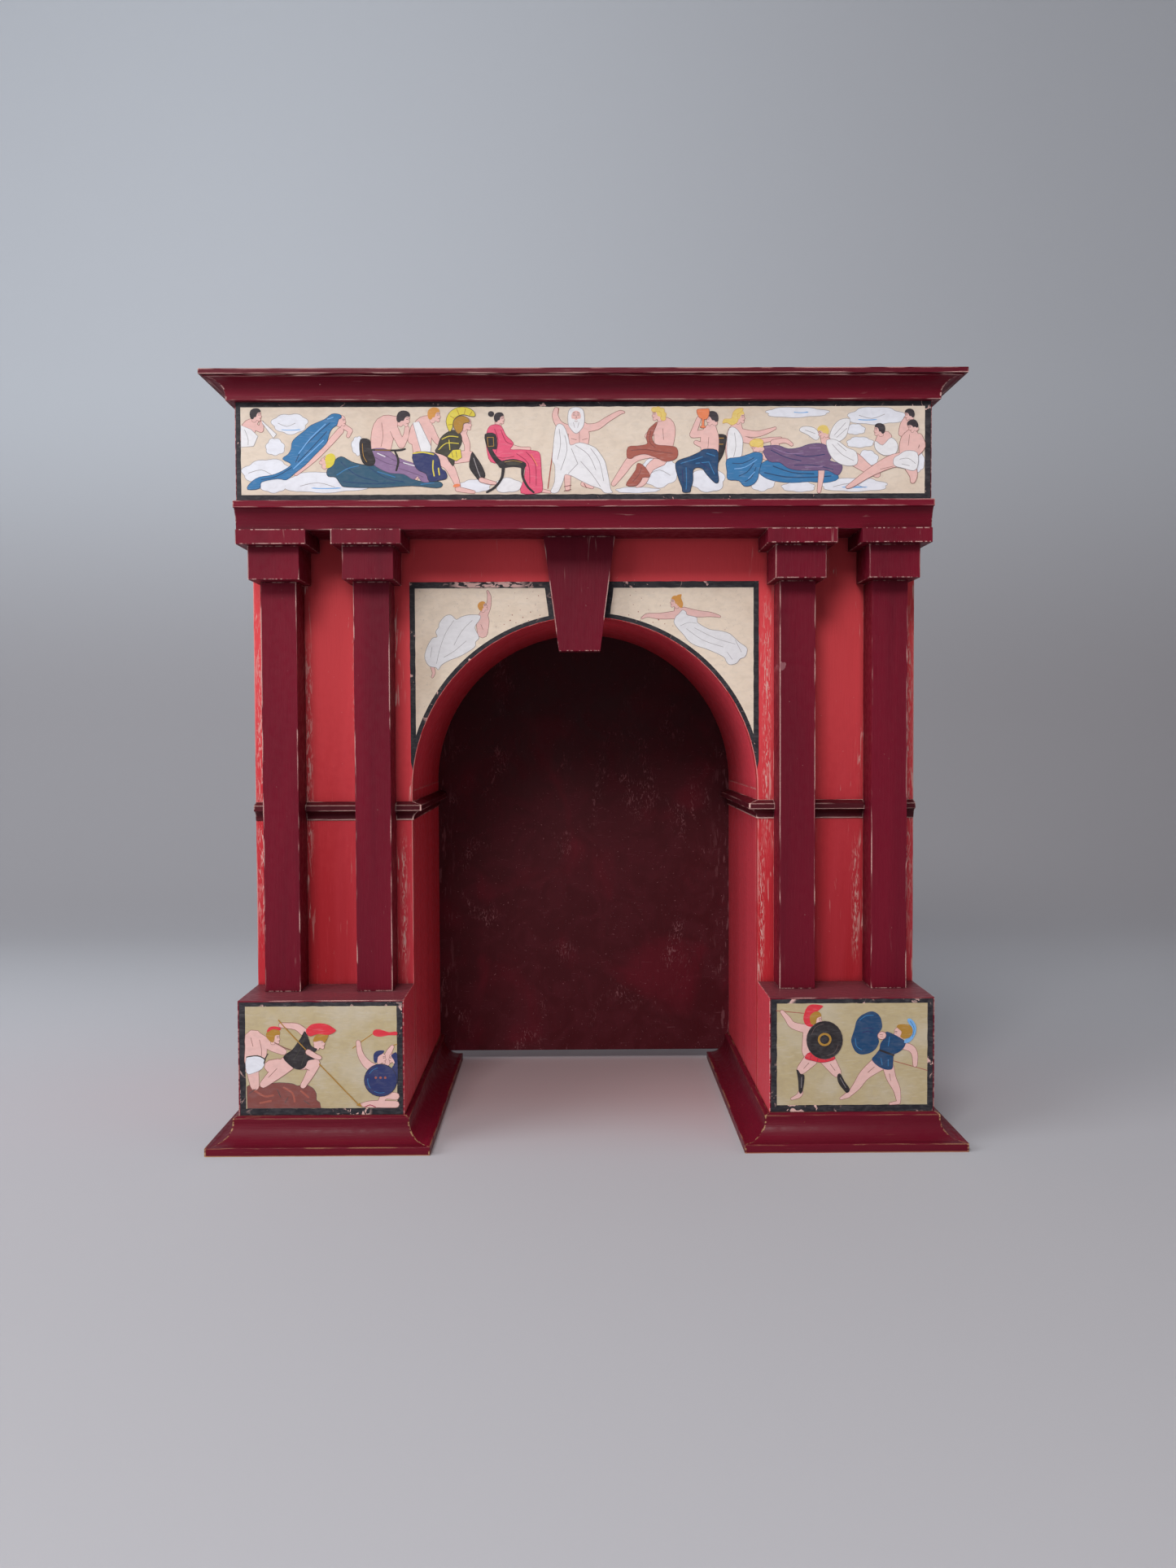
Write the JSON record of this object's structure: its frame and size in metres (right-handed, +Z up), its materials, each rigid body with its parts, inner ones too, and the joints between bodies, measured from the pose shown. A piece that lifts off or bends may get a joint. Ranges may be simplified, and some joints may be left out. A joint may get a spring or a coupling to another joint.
{
  "type": "miniature fireplace mantel",
  "caption": "Free-standing painted wooden mantel front with a deep arched niche, pilasters on pedestals, mitred mouldings and a narrow top shelf.",
  "frame": {"origin": "centre of the bottom of the bounding box, on the floor that the object stands on", "axes": "+Z up, the decorated front faces -Y, +X to the right when looking at the front"},
  "size_m": [0.351, 0.196, 0.359],
  "materials": {
    "maroon_paint": "satin paint, worn at the edges",
    "red_paint": "satin paint over visible grain",
    "deep_red_paint": "satin paint",
    "dark_paint": "dull paint, scratched",
    "panel_paint": "matt cream paint with a black border",
    "scene_paint": "matt painted figures",
    "bare_wood": "bare wood and pale undercoat where paint is chipped"
  },
  "bodies": {
    "root": {"front_board": "red_paint", "left_side_board": "red_paint", "right_side_board": "red_paint", "left_reveal_board": "deep_red_paint", "right_reveal_board": "deep_red_paint", "arch_soffit": "deep_red_paint", "back_panel": "dark_paint", "shelf": "maroon_paint", "frieze_beam": "panel_paint", "crown_front": "maroon_paint", "crown_left": "maroon_paint", "crown_right": "maroon_paint", "cornice": "maroon_paint", "abacus_outer_left": "maroon_paint", "abacus_inner_left": "maroon_paint", "abacus_inner_right": "maroon_paint", "abacus_outer_right": "maroon_paint", "capital_outer_left": "maroon_paint", "capital_inner_left": "maroon_paint", "capital_inner_right": "maroon_paint", "capital_outer_right": "maroon_paint", "pilaster_outer_left": "maroon_paint", "pilaster_inner_left": "maroon_paint", "pilaster_inner_right": "maroon_paint", "pilaster_outer_right": "maroon_paint", "pedestal_left": "maroon_paint", "pedestal_right": "maroon_paint", "base_front_left": "maroon_paint", "base_outer_left": "maroon_paint", "base_inner_left": "maroon_paint", "base_front_right": "maroon_paint", "base_outer_right": "maroon_paint", "base_inner_right": "maroon_paint", "keystone": "maroon_paint", "impost_end_left": "maroon_paint", "impost_mid_left": "maroon_paint", "impost_jamb_left": "maroon_paint", "impost_reveal_left": "maroon_paint", "impost_end_right": "maroon_paint", "impost_mid_right": "maroon_paint", "impost_jamb_right": "maroon_paint", "impost_reveal_right": "maroon_paint"}
  },
  "joints": []
}
